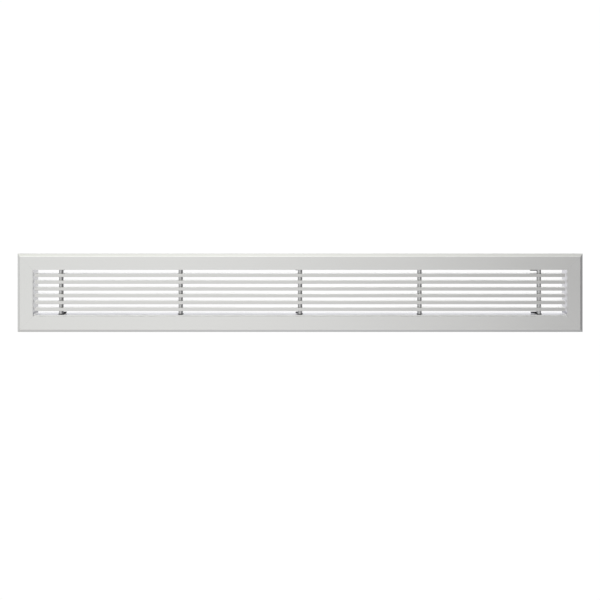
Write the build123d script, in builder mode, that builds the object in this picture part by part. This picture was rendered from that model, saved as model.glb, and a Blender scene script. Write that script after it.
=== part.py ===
"""Linear bar grille with a mitred aluminium frame and a fixed-blade core.

Frame of reference: +X along the grille, +Y into the wall, +Z up. The front
looks towards -Y. The origin is the centre of the wall plane, which the rim
behind the flange touches. All lengths are in millimetres.
"""
import os

from build123d import *

# ---------------------------------------------------------------- frame
overall_w = 1040.0      # outside of the flange, along X
overall_h = 144.4       # outside of the flange, along Z
flange_w = 29.6         # outer edge to the edge of the lip
face_t = 1.8            # thickness of the flange plate and its lip
rim_depth = 5.5         # front face to the wall plane
rim_t = 1.7             # thickness of the rim that touches the wall
bevel_w = 5.0           # sloped outer edge, seen from the front
bevel_d = 3.7           # sloped outer edge, front to back
lip = 2.0               # how far the lip overhangs the neck
neck_t = 1.5            # wall of the neck
neck_depth = 32.0       # front face to the rear edge of the neck

# channel behind the flange for the corner keys
channel_in = 9.0        # from the edge of the lip
channel_out = 20.6
rib_t = 1.2
rib_d = 3.1             # height of a rib behind the flange plate
hook_t = 1.0
hook_w = 1.2

# ------------------------------------------------------------ corner keys
key_t = 2.0
key_w = 11.4
key_leg = 46.0
key_break = 1.0

# ------------------------------------------------------------------- core
core_raise = 1.0        # the core sits this much above the frame's centre
core_set = 1.8          # front edges behind the face: the top rail bears on the lip
blade_count = 6
blade_pitch = 12.5
blade_t = 6.0
blade_depth = 20.0
blade_len = 975.0
blade_front_r = 0.7
blade_rear_r = 0.9

rail_t = 2.0
rail_depth = 24.0
rail_in = 41.5          # core centre to the inner face of a rail
rail_edge = 0.15

rod_count = 5
rod_pitch = 221.0
rod_d = 5.0
rod_bore = 5.2
rod_head_r = 4.0
rod_head_h = 1.2

tube_od = 8.0
tube_id = 5.3
tube_edge = 0.25

# ------------------------------------------------- core clips and washers
clip_t = 0.75           # spring steel strip, and the washers
clip_ring_r = 5.2       # eye of the clip, round the rod
clip_arm = 3.7          # half the width of the strip
clip_ramp = 4.7         # behind the rod's axis, where the strip turns up
clip_hump = 6.4         # behind the rod's axis, crest of the hump
clip_tab = (5.1, 8.6)   # behind the rod's axis, front and rear edge of the finger tab
clip_tail = 17.4        # behind the rod's axis, where the strip turns outwards
clip_tail_v = 0.4       # its height above the rail there
clip_foot = 18.3        # behind the rod's axis, where it meets the neck
clip_forms = {          # hump height, then how far the strip or its tab goes left and right of the rod
    ("top", "left"): (1.9, 3.7, 3.7),
    ("top", "middle"): (2.1, 9.0, 3.7),
    ("top", "right"): (3.0, 13.6, 3.7),
    ("bottom", "left"): (2.45, 3.7, 7.6),
    ("bottom", "middle"): (2.45, 8.2, 3.7),
    ("bottom", "right"): (2.45, 12.8, 3.7),
}
washer_r = 5.2

# ------------------------------------------------------- derived positions
open_w = overall_w - 2 * flange_w
open_h = overall_h - 2 * flange_w
y_face = -rim_depth
y_plate = y_face + face_t
y_neck_end = y_face + neck_depth
y_core = y_face + core_set
y_rod = y_core + blade_depth / 2
z_core = core_raise
rail_out = rail_in + rail_t
rod_x = [(i - (rod_count - 1) / 2) * rod_pitch for i in range(rod_count)]
blade_z = [z_core + ((blade_count - 1) / 2 - i) * blade_pitch for i in range(blade_count)]
gap_z = [z_core + (blade_count / 2 - i) * blade_pitch for i in range(1, blade_count)]
tube_len = blade_pitch - blade_t
end_gap = rail_in - ((blade_count - 1) / 2 * blade_pitch + blade_t / 2)

os.makedirs("parts", exist_ok=True)


def write(builder, name):
    """Label a finished piece and write its STEP file."""
    builder.part.label = name
    export_step(builder.part, f"parts/{name}.step")


# =================================================================== frame
# One extrusion on all four sides. In its section, u runs outwards from the
# edge of the lip and v runs from the wall plane towards the front. Each member
# is extruded past its corners and cut to 45 degree mitres.
f = -y_face
p = -y_plate
e = -y_neck_end
half_w = open_w / 2
half_h = open_h / 2
members = (
    # name, section plane, length, then the corner and the inward normal of each mitre
    ("frame_top", Plane(origin=(-overall_w / 2, 0, half_h), x_dir=(0, 0, 1), z_dir=(1, 0, 0)),
     overall_w, ((-half_w, half_h), (1, 1)), ((half_w, half_h), (-1, 1))),
    ("frame_bottom", Plane(origin=(overall_w / 2, 0, -half_h), x_dir=(0, 0, -1), z_dir=(-1, 0, 0)),
     overall_w, ((-half_w, -half_h), (1, -1)), ((half_w, -half_h), (-1, -1))),
    ("frame_right", Plane(origin=(half_w, 0, overall_h / 2), x_dir=(1, 0, 0), z_dir=(0, 0, -1)),
     overall_h, ((half_w, half_h), (1, -1)), ((half_w, -half_h), (1, 1))),
    ("frame_left", Plane(origin=(-half_w, 0, -overall_h / 2), x_dir=(-1, 0, 0), z_dir=(0, 0, 1)),
     overall_h, ((-half_w, half_h), (-1, -1)), ((-half_w, -half_h), (-1, 1))),
)
for name, section_plane, length, mitre_a, mitre_b in members:
    with BuildPart() as member:
        with BuildSketch(section_plane) as section:
            with BuildLine():
                Polyline(
                    (0, f),
                    (flange_w - bevel_w, f),
                    (flange_w, f - bevel_d),
                    (flange_w, 0),
                    (flange_w - rim_t, 0),
                    (flange_w - rim_t, f - bevel_d - 0.45),
                    (flange_w - bevel_w - 0.75, p),
                    (channel_out + rib_t, p),
                    (channel_out + rib_t, p - rib_d),
                    (channel_out - hook_w, p - rib_d),
                    (channel_out - hook_w, p - rib_d + hook_t),
                    (channel_out, p - rib_d + hook_t),
                    (channel_out, p),
                    (channel_in, p),
                    (channel_in, p - rib_d + hook_t),
                    (channel_in + hook_w, p - rib_d + hook_t),
                    (channel_in + hook_w, p - rib_d),
                    (channel_in - rib_t, p - rib_d),
                    (channel_in - rib_t, p),
                    (lip + neck_t, p),
                    (lip + neck_t, e),
                    (lip, e),
                    (lip, p),
                    (0, p),
                    close=True,
                )
            make_face()
            # the face rolls softly into the bevel, and the bevel into the rim;
            # the lip, the rear edge of the neck and the inside corner are eased
            for u, v, radius in (
                (flange_w - bevel_w, f, 2.6),
                (flange_w, f - bevel_d, 0.9),
                (0, f, 0.3),
                (0, p, 0.25),
                (lip + neck_t, p, 0.6),
                (lip, e, 0.3),
                (lip + neck_t, e, 0.3),
            ):
                fillet(
                    [q for q in section.vertices() if abs(q.X - u) < 1e-3 and abs(q.Y - v) < 1e-3],
                    radius,
                )
        extrude(amount=length)
        for (mx, mz), (nx, nz) in (mitre_a, mitre_b):
            split(bisect_by=Plane(origin=(mx, 0, mz), z_dir=(nx, 0, nz)), keep=Keep.TOP)
    write(member, name)


# ============================================================= corner keys
# Flat steel angles that lie against the back of the flange, inside the
# channels of the two members they join.
key_mid = (channel_in + channel_out) / 2
for side_name, sx in (("left", -1), ("right", 1)):
    for level_name, sz in (("top", 1), ("bottom", -1)):
        ax = sx * (open_w / 2 + key_mid)
        az = sz * (open_h / 2 + key_mid)
        far = key_w / 2
        with BuildPart() as corner_key:
            # x of this plane is +X, y is +Z, and it looks towards the front
            with BuildSketch(Plane(origin=(ax, y_plate, az), x_dir=(1, 0, 0), z_dir=(0, -1, 0))):
                with BuildLine():
                    Polyline(
                        (sx * far, sz * far),
                        (sx * (far - key_leg), sz * far),
                        (sx * (far - key_leg), -sz * far),
                        (-sx * far, -sz * far),
                        (-sx * far, sz * (far - key_leg)),
                        (sx * far, sz * (far - key_leg)),
                        close=True,
                    )
                make_face()
            extrude(amount=-key_t)
            ends = corner_key.edges().filter_by(Axis.Y)
            ends = [
                e for e in ends
                if abs(abs(e.center().X - ax) - (key_leg - far)) < 0.01
                or abs(abs(e.center().Z - az) - (key_leg - far)) < 0.01
            ]
            chamfer(ends, key_break)
        write(corner_key, f"corner_key_{level_name}_{side_name}")


# ============================================================== core rails
# Thin strips that close the core above and below. The cross rods are riveted
# over in the countersinks of their outer faces.
for level_name, sz in (("top", 1), ("bottom", -1)):
    with BuildPart() as core_rail:
        with BuildSketch(Plane.XY.offset(z_core + sz * rail_in)):
            with Locations((0, y_core + rail_depth / 2)):
                Rectangle(blade_len, rail_depth)
        extrude(amount=sz * rail_t)
        fillet(core_rail.edges().filter_by(Axis.X), rail_edge)
        with Locations([(x, y_rod, z_core + sz * (rail_in + rail_t / 2)) for x in rod_x]):
            Cylinder(rod_bore / 2, rail_t * 2, mode=Mode.SUBTRACT)
        with Locations([(x, y_rod, z_core + sz * (rail_out - rod_head_h / 2)) for x in rod_x]):
            Cone(
                rod_d / 2 if sz > 0 else rod_head_r,
                rod_head_r if sz > 0 else rod_d / 2,
                rod_head_h,
                mode=Mode.SUBTRACT,
            )
    write(core_rail, f"core_rail_{level_name}")


# ================================================================== blades
# Solid flat bars on edge, numbered from the top, drilled for the cross rods.
for number, z in enumerate(blade_z, start=1):
    with BuildPart() as blade:
        with BuildSketch(Plane.YZ.offset(-blade_len / 2)):
            with Locations((y_core + blade_depth / 2, z)):
                Rectangle(blade_depth, blade_t)
        extrude(amount=blade_len)
        long_edges = blade.edges().filter_by(Axis.X).group_by(Axis.Y)
        fillet(long_edges[0], blade_front_r)
        long_edges = blade.edges().filter_by(Axis.X).group_by(Axis.Y)
        fillet(long_edges[-1], blade_rear_r)
        with Locations([(x, y_rod, z) for x in rod_x]):
            Cylinder(rod_bore / 2, blade_t * 2, mode=Mode.SUBTRACT)
    write(blade, f"blade_{number}")


# ============================================================== cross rods
# Plain round rods through blades and spacers, with a rivet head formed in
# each rail. Numbered from the left.
for number, x in enumerate(rod_x, start=1):
    with BuildPart() as cross_rod:
        with BuildSketch(Plane(origin=(x, y_rod, z_core), x_dir=(1, 0, 0), z_dir=(0, -1, 0))):
            with BuildLine():
                Polyline(
                    (0, -rail_out),
                    (rod_head_r, -rail_out),
                    (rod_d / 2, -rail_out + rod_head_h),
                    (rod_d / 2, rail_out - rod_head_h),
                    (rod_head_r, rail_out),
                    (0, rail_out),
                    close=True,
                )
            make_face()
        revolve(axis=Axis((x, y_rod, z_core), (0, 0, 1)))
    write(cross_rod, f"cross_rod_{number}")


# ============================================================ spacer tubes
# Seven equal tubes on each rod: five between blades, one next to each rail.
end_tube_z = (blade_count - 1) / 2 * blade_pitch + blade_t / 2 + tube_len / 2
tube_z = [z_core + end_tube_z] + gap_z + [z_core - end_tube_z]
for number, x in enumerate(rod_x, start=1):
    with BuildPart() as spacers:
        with Locations([(x, y_rod, z) for z in tube_z]):
            Cylinder(tube_od / 2, tube_len)
        outer = [e for e in spacers.edges().filter_by(GeomType.CIRCLE) if e.radius > tube_od / 2 - 0.01]
        chamfer(outer, tube_edge)
        with Locations([(x, y_rod, z) for z in tube_z]):
            Cylinder(tube_id / 2, tube_len * 1.2, mode=Mode.SUBTRACT)
    write(spacers, f"spacers_{number}")


# ============================================================== core clips
# Spring steel strips on the first, middle and last rods. An eye sits between
# the rail and the end tube. Behind the tube the strip rises in a hump, with a
# finger tab to one side, then falls to the rear, turns outwards behind the
# rail, and its foot presses on the inside of the neck.
def other_face(points, t):
    """The far face of a bent strip of thickness t, to the left of its run."""
    runs = []
    for (u0, v0), (u1, v1) in zip(points, points[1:]):
        length = ((u1 - u0) ** 2 + (v1 - v0) ** 2) ** 0.5
        runs.append(((u1 - u0) / length, (v1 - v0) / length))
    face = []
    for i, (u, v) in enumerate(points):
        au, av = runs[max(i - 1, 0)]
        bu, bv = runs[min(i, len(runs) - 1)]
        k = t / (1 + au * bu + av * bv)
        face.append((u - k * (av + bv), v + k * (au + bu)))
    return face


clip_rods = (("left", rod_x[0]), ("middle", rod_x[rod_count // 2]), ("right", rod_x[-1]))
for side_name, x in clip_rods:
    for level_name, sz in (("top", 1), ("bottom", -1)):
        rise, to_left, to_right = clip_forms[(level_name, side_name)]
        z_rail = z_core + sz * rail_in
        reach = abs(z_rail) - (half_h + lip)
        near = [(0, 0), (clip_ramp, 0), (clip_hump, rise), (clip_tail, clip_tail_v), (clip_foot, reach)]
        far = other_face(near, clip_t)
        # the foot is cut parallel to the neck
        end_u, end_v = far[-1]
        far[-1] = (end_u + (end_v - reach) * (clip_foot - clip_tail) / (clip_tail_v - reach), reach)
        with BuildPart() as core_clip:
            # side view of the strip: u to the rear, v away from the rail
            side = Plane(
                origin=(x + (-to_left if sz < 0 else to_right), y_rod, z_rail),
                x_dir=(0, 1, 0),
                z_dir=(-sz, 0, 0),
            )
            with BuildSketch(side) as strip:
                with BuildLine():
                    Polyline(*near, *reversed(far), close=True)
                make_face()
                for (u, v), radius in ((far[2], 0.7), (far[3], 0.9)):
                    fillet(
                        [q for q in strip.vertices() if abs(q.X - u) < 1e-3 and abs(q.Y - v) < 1e-3],
                        radius,
                    )
            extrude(amount=to_left + to_right)
            # the tab stands out beside the hump only
            for sign, width in ((-1, to_left), (1, to_right)):
                wing = width - clip_arm
                if wing > 0.1:
                    for v0, v1 in ((-2.0, clip_tab[0]), (clip_tab[1], clip_foot + 3.0)):
                        with Locations((x + sign * (clip_arm + wing / 2 + 0.5), y_rod + (v0 + v1) / 2, z_rail)):
                            Box(wing + 1.0, v1 - v0, 30.0, mode=Mode.SUBTRACT)
            with Locations((x, y_rod, z_rail - sz * clip_t / 2)):
                Cylinder(clip_ring_r, clip_t)
                Cylinder(rod_bore / 2, clip_t * 4, mode=Mode.SUBTRACT)
        write(core_clip, f"core_clip_{level_name}_{side_name}")


# ================================================================= washers
# The rods without a clip have a plain black washer at each end instead.
with BuildPart() as rod_washers:
    spots = [
        (rod_x[i], y_rod, z_core + sz * (rail_in - clip_t / 2)) for i in (1, 3) for sz in (1, -1)
    ]
    with Locations(spots):
        Cylinder(washer_r, clip_t)
    with Locations(spots):
        Cylinder(rod_bore / 2, clip_t * 2, mode=Mode.SUBTRACT)
write(rod_washers, "rod_washers")
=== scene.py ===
"""Looks for the linear bar grille: satin anodised aluminium frame and blades,
mill-finish tubes, black spring-steel clips, zinc-plated corner keys.

Metres, +X along the grille, +Y into the wall, +Z up. The front looks to -Y.
"""
import math

import bpy
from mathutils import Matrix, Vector

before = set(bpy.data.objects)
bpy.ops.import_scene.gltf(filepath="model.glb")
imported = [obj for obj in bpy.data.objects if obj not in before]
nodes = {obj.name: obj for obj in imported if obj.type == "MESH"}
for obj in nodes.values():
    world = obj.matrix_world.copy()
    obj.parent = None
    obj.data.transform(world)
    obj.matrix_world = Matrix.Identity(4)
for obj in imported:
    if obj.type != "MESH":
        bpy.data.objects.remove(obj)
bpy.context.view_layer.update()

scene = bpy.context.scene

# sizes shared with the model, in metres
OPEN_HALF_W = 0.4904        # edge of the lip
OPEN_HALF_H = 0.0426
ROD_X = [(i - 2) * 0.221 for i in range(5)]
ROD_Y = 0.0063
BLADE_END = 0.4875


# ------------------------------------------------------------- node helpers
class Net:
    """A material's node tree, built by short calls that return sockets."""

    def __init__(self, name):
        self.material = bpy.data.materials.new(name)
        self.material.use_nodes = True
        self.tree = self.material.node_tree
        self.tree.nodes.clear()
        self.out = self.tree.nodes.new("ShaderNodeOutputMaterial")
        self.bsdf = self.tree.nodes.new("ShaderNodeBsdfPrincipled")
        self.tree.links.new(self.bsdf.outputs["BSDF"], self.out.inputs["Surface"])

    def new(self, kind):
        return self.tree.nodes.new(kind)

    def put(self, socket, value):
        if isinstance(value, bpy.types.NodeSocket):
            self.tree.links.new(value, socket)
        else:
            socket.default_value = value

    def set(self, name, value):
        self.put(self.bsdf.inputs[name], value)

    def position(self, scale=(1, 1, 1), shift=(0, 0, 0)):
        coord = self.new("ShaderNodeTexCoord")
        mapping = self.new("ShaderNodeMapping")
        self.put(mapping.inputs["Vector"], coord.outputs["Object"])
        mapping.inputs["Scale"].default_value = scale
        mapping.inputs["Location"].default_value = shift
        return mapping.outputs["Vector"]

    def xyz(self):
        coord = self.new("ShaderNodeTexCoord")
        split = self.new("ShaderNodeSeparateXYZ")
        self.put(split.inputs[0], coord.outputs["Object"])
        return split.outputs

    def noise(self, vector, scale=1.0, detail=2.0, rough=0.5, distortion=0.0):
        n = self.new("ShaderNodeTexNoise")
        self.put(n.inputs["Vector"], vector)
        n.inputs["Scale"].default_value = scale
        n.inputs["Detail"].default_value = detail
        n.inputs["Roughness"].default_value = rough
        n.inputs["Distortion"].default_value = distortion
        return n.outputs["Fac"]

    def voronoi(self, vector, scale=1.0, output="Color"):
        n = self.new("ShaderNodeTexVoronoi")
        self.put(n.inputs["Vector"], vector)
        n.inputs["Scale"].default_value = scale
        return n.outputs[output]

    def math(self, op, a, b=0.0, c=None, clamp=False):
        n = self.new("ShaderNodeMath")
        n.operation = op
        n.use_clamp = clamp
        self.put(n.inputs[0], a)
        self.put(n.inputs[1], b)
        if c is not None:
            self.put(n.inputs[2], c)
        return n.outputs[0]

    def ramp(self, value, lo, hi, to_lo=0.0, to_hi=1.0):
        n = self.new("ShaderNodeMapRange")
        n.clamp = True
        self.put(n.inputs["Value"], value)
        n.inputs["From Min"].default_value = lo
        n.inputs["From Max"].default_value = hi
        n.inputs["To Min"].default_value = to_lo
        n.inputs["To Max"].default_value = to_hi
        return n.outputs["Result"]

    def smooth(self, value, lo, hi, to_lo=0.0, to_hi=1.0):
        n = self.new("ShaderNodeMapRange")
        n.interpolation_type = "SMOOTHSTEP"
        n.clamp = True
        self.put(n.inputs["Value"], value)
        n.inputs["From Min"].default_value = lo
        n.inputs["From Max"].default_value = hi
        n.inputs["To Min"].default_value = to_lo
        n.inputs["To Max"].default_value = to_hi
        return n.outputs["Result"]

    def mix(self, factor, a, b):
        n = self.new("ShaderNodeMix")
        n.data_type = "RGBA"
        self.put(n.inputs["Factor"], factor)
        self.put(n.inputs["A"], a)
        self.put(n.inputs["B"], b)
        return n.outputs["Result"]

    def bump(self, height, distance, strength=1.0, normal=None):
        n = self.new("ShaderNodeBump")
        n.inputs["Distance"].default_value = distance
        n.inputs["Strength"].default_value = strength
        self.put(n.inputs["Height"], height)
        if normal is not None:
            self.put(n.inputs["Normal"], normal)
        return n.outputs["Normal"]


def rgb(r, g, b):
    return (r, g, b, 1.0)


def satin_aluminium(name, along, base, tint, roughness, seed, mitre=False, cut_ends=False,
                    neck_painted_light=None, front=None):
    """Natural anodised extrusion: fine grain and die lines along its length,
    a faint cloudy tone, and micro-speckle from the etch. Painted light: the
    neck's inner faces behind the face, and the recessed front edge of the
    lower strip, can be painted lighter; painted shade darkens the neck low
    down, just above the lower rail."""
    n = Net(name)
    if along == "x":
        die = n.position((0.6, 620.0, 620.0), (seed, 0, 0))
        grain = n.position((34.0, 2600.0, 2600.0), (0, seed, 0))
        short = n.position((120.0, 5200.0, 5200.0), (seed, seed, 0))
    else:
        die = n.position((620.0, 620.0, 0.6), (0, 0, seed))
        grain = n.position((2600.0, 2600.0, 34.0), (seed, 0, 0))
        short = n.position((5200.0, 5200.0, 120.0), (seed, seed, 0))
    die_f = n.noise(die, 1.0, 3.0, 0.6)
    grain_f = n.noise(grain, 1.0, 2.0, 0.55)
    short_f = n.noise(short, 1.0, 1.0, 0.5)
    cloud_f = n.noise(n.position((7.0, 11.0, 13.0), (seed, 2.3, seed)), 1.0, 3.0, 0.5)
    speck_f = n.noise(n.position((3400.0, 3400.0, 3400.0)), 1.0, 1.0, 0.5)

    tone = n.math("ADD", n.math("MULTIPLY", die_f, 0.34), n.math("MULTIPLY", grain_f, 0.26))
    tone = n.math("ADD", tone, n.math("MULTIPLY", cloud_f, 0.25))
    tone = n.math("ADD", tone, n.math("MULTIPLY", speck_f, 0.15))
    tone = n.ramp(tone, 0.33, 0.67)
    colour = n.mix(tone, rgb(*(c * 0.965 for c in base)), rgb(*(c * t for c, t in zip(base, tint))))

    inside = None
    if neck_painted_light is not None:
        # painted light: the neck and the edge of its lip, outwards from the lip's edge up to 4 mm, are painted
        # lighter than the face's own colour
        s = n.xyz()
        u = n.math("SUBTRACT", n.math("ABSOLUTE", s["X"]), OPEN_HALF_W)
        v = n.math("SUBTRACT", n.math("ABSOLUTE", s["Z"]), OPEN_HALF_H)
        inside = n.math("MULTIPLY", n.smooth(n.math("MAXIMUM", u, v), 0.0045, 0.0038),
                        n.smooth(s["Y"], -0.0053, -0.0048))
        colour = n.mix(n.math("MULTIPLY", inside, neck_painted_light), colour, rgb(0.97, 0.97, 0.965))
        # painted shade: the inner face is painted darker in its last few millimetres above the lower rail, the
        # corner where shade falls
        painted_shade_low = n.math("MULTIPLY", n.smooth(s["Z"], -0.0345, -0.0372), n.smooth(s["Z"], -0.0412, -0.0398))
        painted_shade_low = n.math("MULTIPLY", painted_shade_low, n.smooth(u, 0.0030, 0.0024))
        colour = n.mix(n.math("MULTIPLY", n.math("MULTIPLY", inside, painted_shade_low), 0.8), colour, rgb(0.46, 0.46, 0.48))
    if front is not None:
        # painted light: the recessed front edge of the rail is painted lighter, in the frame's colour times the
        # front factor
        edge = n.smooth(n.xyz()["Y"], -0.00350, -0.00362)
        colour = n.mix(edge, colour, rgb(*(front * c for c in FRAME_BASE)))

    dark = None
    if mitre:
        s = n.xyz()
        u = n.math("SUBTRACT", n.math("ABSOLUTE", s["X"]), OPEN_HALF_W)
        v = n.math("SUBTRACT", n.math("ABSOLUTE", s["Z"]), OPEN_HALF_H)
        gap = n.math("ABSOLUTE", n.math("SUBTRACT", u, v))
        line = n.smooth(gap, 0.00003, 0.00011, 1.0, 0.0)
        dark = n.math("MULTIPLY", line, 0.5)
        colour = n.mix(dark, colour, rgb(0.36, 0.36, 0.35))
    if cut_ends:
        s = n.xyz()
        at_end = n.smooth(n.math("ABSOLUTE", s["X"]), BLADE_END - 0.0006, BLADE_END - 0.0001)
        colour = n.mix(n.math("MULTIPLY", at_end, 0.35), colour, rgb(0.50, 0.50, 0.49))
    n.set("Base Color", colour)
    n.set("Metallic", 1.0)
    rough = n.math("ADD", n.ramp(die_f, 0.3, 0.7, -0.025, 0.025), n.ramp(cloud_f, 0.3, 0.7, -0.02, 0.02))
    rough = n.math("ADD", rough, n.ramp(grain_f, 0.3, 0.7, roughness - 0.03, roughness + 0.03))
    if dark is not None:
        rough = n.math("ADD", rough, n.math("MULTIPLY", dark, 0.3), clamp=True)
    if inside is not None:
        rough = n.math("SUBTRACT", rough, n.math("MULTIPLY", inside, 0.10))
    n.set("Roughness", rough)
    height = n.math("ADD", n.math("MULTIPLY", grain_f, 0.6), n.math("MULTIPLY", short_f, 0.4))
    if dark is not None:
        height = n.math("SUBTRACT", height, n.math("MULTIPLY", dark, 3.0))
    normal = n.bump(die_f, 0.000012, 0.6)
    n.set("Normal", n.bump(height, 0.000006, 0.7, normal))
    return n.material


def turned_aluminium(name, base, roughness):
    """Cut spacer tube: rings from the draw and the saw, a little darker grain."""
    n = Net(name)
    ring_f = n.noise(n.position((240.0, 240.0, 4200.0)), 1.0, 2.0, 0.6)
    draw_f = n.noise(n.position((2600.0, 2600.0, 60.0)), 1.0, 2.0, 0.5)
    cloud_f = n.noise(n.position((90.0, 90.0, 120.0), (3.0, 1.0, 0.0)), 1.0, 2.0, 0.5)
    tone = n.math("ADD", n.math("MULTIPLY", ring_f, 0.35), n.math("MULTIPLY", draw_f, 0.35))
    tone = n.math("ADD", tone, n.math("MULTIPLY", cloud_f, 0.3))
    tone = n.ramp(tone, 0.33, 0.67)
    n.set("Base Color", n.mix(tone, rgb(*(c * 0.88 for c in base)), rgb(*base)))
    n.set("Metallic", 1.0)
    n.set("Roughness", n.ramp(tone, 0.0, 1.0, roughness + 0.05, roughness - 0.04))
    n.set("Normal", n.bump(n.math("ADD", ring_f, draw_f), 0.00001, 0.6))
    return n.material


def zinc_plate(name):
    """Stamped steel with bright zinc: faint crystal flakes and rolling marks."""
    n = Net(name)
    flake = n.voronoi(n.position((420.0, 420.0, 420.0)), 1.0, "Color")
    split = n.new("ShaderNodeSeparateColor")
    n.put(split.inputs[0], flake)
    flake_f = split.outputs[0]
    roll_f = n.noise(n.position((900.0, 900.0, 900.0)), 1.0, 3.0, 0.6)
    tone = n.math("ADD", n.math("MULTIPLY", flake_f, 0.5), n.math("MULTIPLY", roll_f, 0.5))
    n.set("Base Color", n.mix(n.ramp(tone, 0.2, 0.8), rgb(0.44, 0.45, 0.47), rgb(0.64, 0.65, 0.66)))
    n.set("Metallic", 1.0)
    n.set("Roughness", n.ramp(flake_f, 0.0, 1.0, 0.30, 0.46))
    n.set("Normal", n.bump(roll_f, 0.00001, 0.5))
    return n.material


def spring_steel(name):
    """Blackened spring strip: nearly black oxide, rubbed to grey in places."""
    n = Net(name)
    fine_f = n.noise(n.position((2200.0, 2200.0, 2200.0)), 1.0, 3.0, 0.6)
    rub_f = n.noise(n.position((210.0, 210.0, 210.0), (4.0, 1.0, 2.0)), 1.0, 4.0, 0.6)
    geometry = n.new("ShaderNodeNewGeometry")
    edge = n.smooth(geometry.outputs["Pointiness"], 0.52, 0.60)
    worn = n.math("MULTIPLY", n.smooth(rub_f, 0.52, 0.72), 0.35)
    worn = n.math("MAXIMUM", worn, n.math("MULTIPLY", edge, 0.5))
    black = n.mix(n.ramp(fine_f, 0.3, 0.7), rgb(0.012, 0.012, 0.013), rgb(0.028, 0.028, 0.030))
    n.set("Base Color", n.mix(worn, black, rgb(0.10, 0.10, 0.105)))
    n.set("Metallic", 0.0)
    n.set("Roughness", n.ramp(rub_f, 0.3, 0.7, 0.52, 0.40))
    n.set("Specular IOR Level", 0.30)
    n.set("Normal", n.bump(fine_f, 0.000012, 0.6))
    return n.material


def give(node_name, material):
    mesh = nodes[node_name].data
    mesh.materials.clear()
    mesh.materials.append(material)


# ---------------------------------------------------------------- materials
FRAME_BASE = (0.86, 0.86, 0.845)
FRAME_TINT = (1.0, 1.0, 1.0)
BLADE_BASE = (0.795, 0.793, 0.775)
for index, side in enumerate(("top", "bottom")):
    give(f"frame_{side}", satin_aluminium(
        f"anodised_frame_{side}", "x", FRAME_BASE, FRAME_TINT, 0.42, 3.7 + 5.1 * index, mitre=True))
for index, side in enumerate(("left", "right")):
    give(f"frame_{side}", satin_aluminium(
        # the side members get painted light on their neck walls and painted shade low down on them
        f"anodised_frame_{side}", "z", FRAME_BASE, FRAME_TINT, 0.42, 17.9 + 4.3 * index, mitre=True, neck_painted_light=0.15))
# painted shade: the rails get a darker, bluish copy of the frame's anodised colour for the shade they sit in
# below and above the blades
for index, level in enumerate(("top", "bottom")):
    give(f"core_rail_{level}", satin_aluminium(
        f"anodised_rail_{level}", "x", (0.735, 0.735, 0.755), FRAME_TINT, 0.46, 31.3 + 2.9 * index, cut_ends=True, front=1.1))
for number in range(1, 7):
    give(f"blade_{number}", satin_aluminium(
        f"anodised_blade_{number}", "x", BLADE_BASE, FRAME_TINT, 0.38, 43.0 + 7.7 * number, cut_ends=True))
tube = turned_aluminium("mill_tube", (0.78, 0.78, 0.78), 0.36)
rod = turned_aluminium("mill_rod", (0.68, 0.68, 0.68), 0.30)
for number in range(1, 6):
    give(f"spacers_{number}", tube)
    give(f"cross_rod_{number}", rod)
zinc = zinc_plate("zinc_plated_key")
black = spring_steel("black_spring_steel")
for level in ("top", "bottom"):
    for side in ("left", "right"):
        give(f"corner_key_{level}_{side}", zinc)
    for side in ("left", "middle", "right"):
        give(f"core_clip_{level}_{side}", black)
give("rod_washers", black)


# -------------------------------------------------------------------- stage
# The grille is held in a wall, so it hangs well clear of the floor.
floor_mesh = bpy.data.meshes.new("floor")
FLOOR_Z = -1.60
R = 14.0
floor_mesh.from_pydata(
    [(-R, -R, FLOOR_Z), (R, -R, FLOOR_Z), (R, R, FLOOR_Z), (-R, R, FLOOR_Z)], [], [(0, 1, 2, 3)])
floor = bpy.data.objects.new("floor", floor_mesh)
scene.collection.objects.link(floor)
paper = bpy.data.materials.new("studio_paper")
paper.use_nodes = True
tree = paper.node_tree
tree.nodes.clear()
out = tree.nodes.new("ShaderNodeOutputMaterial")
bright = tree.nodes.new("ShaderNodeEmission")
bright.inputs["Color"].default_value = (1, 1, 1, 1)
bright.inputs["Strength"].default_value = 1.02
tree.links.new(bright.outputs[0], out.inputs["Surface"])
floor_mesh.materials.append(paper)
floor.visible_diffuse = False       # the light from below comes from the studio's own fall-off
floor.visible_glossy = False
floor.visible_transmission = False
floor.visible_shadow = False

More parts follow.
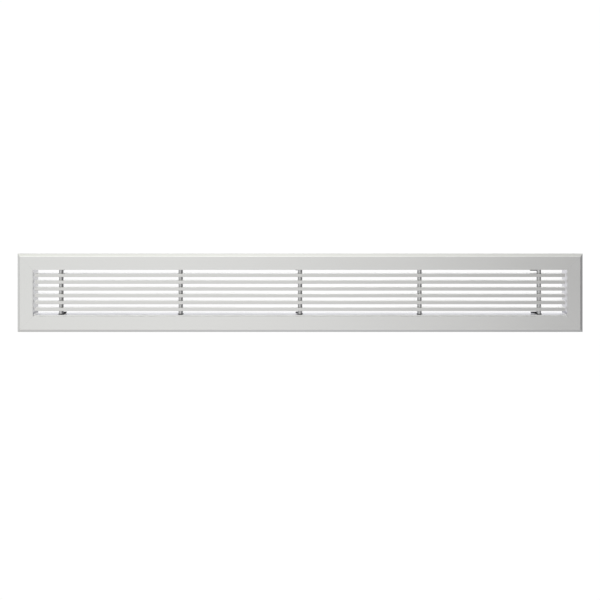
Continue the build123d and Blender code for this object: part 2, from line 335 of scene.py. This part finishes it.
# ------------------------------------------------------------------- lights
# A white studio. The camera sees plain white; the grille is lit by a smooth
# surround of broad soft sources, brighter above and to the left, with a few
# tighter ones in front that show in the satin faces.
STUDIO_BASE = (0.049, 0.048, 0.058)
STUDIO = [                  # direction the light comes from, tightness, linear colour
    ((0.0, -1.0, 1.0), 6, (1.419, 1.421, 1.397)),
    ((0.55, 1.0, 0.35), 30, (1.368, 1.369, 1.389)),
    ((-0.55, 1.0, 0.35), 30, (1.243, 1.248, 1.238)),
    ((0.0, 1.0, 0.0), 6, (0.771, 0.772, 0.787)),
    ((-1.0, 0.0, 0.0), 6, (0.682, 0.689, 0.683)),
    ((0.0, 1.0, -1.0), 6, (0.634, 0.636, 0.640)),
    ((0.0, 1.0, 0.35), 30, (0.588, 0.589, 0.590)),
    ((-1.0, -1.0, 1.0), 6, (0.559, 0.573, 0.512)),
    ((0.0, -1.0, -1.0), 6, (0.537, 0.531, 0.536)),
    ((0.0, 1.0, 1.0), 6, (0.525, 0.531, 0.533)),
    ((0.0, -1.0, -0.55), 40, (0.457, 0.456, 0.460)),
    ((0.3, -1.0, -0.55), 40, (0.382, 0.376, 0.394)),
    ((0.0, 1.0, 0.08), 30, (0.373, 0.372, 0.378)),
    ((1.0, 0.0, 0.0), 6, (0.286, 0.287, 0.287)),
    ((-0.3, -1.0, -0.55), 40, (0.292, 0.287, 0.278)),
    ((-1.0, 0.0, -1.0), 6, (0.293, 0.285, 0.269)),
    ((0.0, 0.0, -1.0), 6, (0.269, 0.278, 0.279)),
    ((-1.0, -1.0, -1.0), 6, (0.286, 0.277, 0.263)),
    ((0.0, -1.0, 0.0), 6, (0.271, 0.274, 0.265)),
    ((-0.55, 1.0, 0.08), 30, (0.193, 0.180, 0.251)),
    ((-0.3, -1.0, -0.2), 40, (0.198, 0.204, 0.190)),
    ((-0.3, -1.0, 0.15), 40, (0.175, 0.167, 0.182)),
    ((-0.6, -1.0, -0.55), 40, (0.153, 0.146, 0.136)),
    ((0.0, 0.0, 1.0), 6, (0.148, 0.155, 0.114)),
    ((-0.6, -1.0, 0.15), 40, (0.136, 0.132, 0.145)),
    ((-0.6, -1.0, -0.2), 40, (0.130, 0.129, 0.120)),
    ((1.0, 0.0, -1.0), 6, (0.115, 0.114, 0.105)),
    ((0.3, -1.0, -0.2), 40, (0.091, 0.094, 0.082)),
    ((0.0, 0.0, -1.0), 20, (0.067, 0.077, 0.085)),
    ((-1.0, -1.0, 0.0), 6, (0.040, 0.052, 0.073)),
]

world = bpy.data.worlds.new("studio")
scene.world = world
world.use_nodes = True
tree = world.node_tree
tree.nodes.clear()
out = tree.nodes.new("ShaderNodeOutputWorld")
coord = tree.nodes.new("ShaderNodeTexCoord")


def wmath(op, a, b=0.0):
    n = tree.nodes.new("ShaderNodeMath")
    n.operation = op
    for socket, value in zip(n.inputs, (a, b)):
        if isinstance(value, bpy.types.NodeSocket):
            tree.links.new(value, socket)
        else:
            socket.default_value = value
    return n.outputs[0]


total = STUDIO_BASE
for direction, power, colour in STUDIO:
    dot = tree.nodes.new("ShaderNodeVectorMath")
    dot.operation = "DOT_PRODUCT"
    tree.links.new(coord.outputs["Generated"], dot.inputs[0])
    dot.inputs[1].default_value = Vector(direction).normalized()
    lobe = wmath("POWER", wmath("MAXIMUM", dot.outputs["Value"], 0.0), float(power))
    add = tree.nodes.new("ShaderNodeVectorMath")
    add.operation = "MULTIPLY_ADD"
    tree.links.new(lobe, add.inputs[0])
    add.inputs[1].default_value = colour
    if isinstance(total, tuple):
        add.inputs[2].default_value = total
    else:
        tree.links.new(total, add.inputs[2])
    total = add.outputs["Vector"]
studio = tree.nodes.new("ShaderNodeBackground")
studio.inputs["Strength"].default_value = 1.0
tree.links.new(total, studio.inputs["Color"])
white = tree.nodes.new("ShaderNodeBackground")
white.inputs["Color"].default_value = (1, 1, 1, 1)
white.inputs["Strength"].default_value = 1.02
path = tree.nodes.new("ShaderNodeLightPath")
choose = tree.nodes.new("ShaderNodeMixShader")
tree.links.new(path.outputs["Is Camera Ray"], choose.inputs["Fac"])
tree.links.new(studio.outputs[0], choose.inputs[1])
tree.links.new(white.outputs[0], choose.inputs[2])
tree.links.new(choose.outputs[0], out.inputs["Surface"])


# ------------------------------------------------------------------- camera
# Level camera a little above the grille; the frame is shifted down, so that
# upright edges stay upright.
camera_data = bpy.data.cameras.new("camera")
camera = bpy.data.objects.new("camera", camera_data)
scene.collection.objects.link(camera)
camera.location = (-0.00018, -1.2865, 0.2095)
camera.rotation_euler = (math.radians(90.0), 0.0, 0.0)
camera_data.sensor_width = 36.0
camera_data.lens = 41.88
camera_data.shift_x = 0.0
camera_data.shift_y = -0.2017
camera_data.clip_start = 0.05
camera_data.clip_end = 100.0
scene.camera = camera

scene.view_settings.view_transform = "Standard"
scene.view_settings.look = "None"
scene.view_settings.exposure = 0.0
scene.view_settings.gamma = 1.0
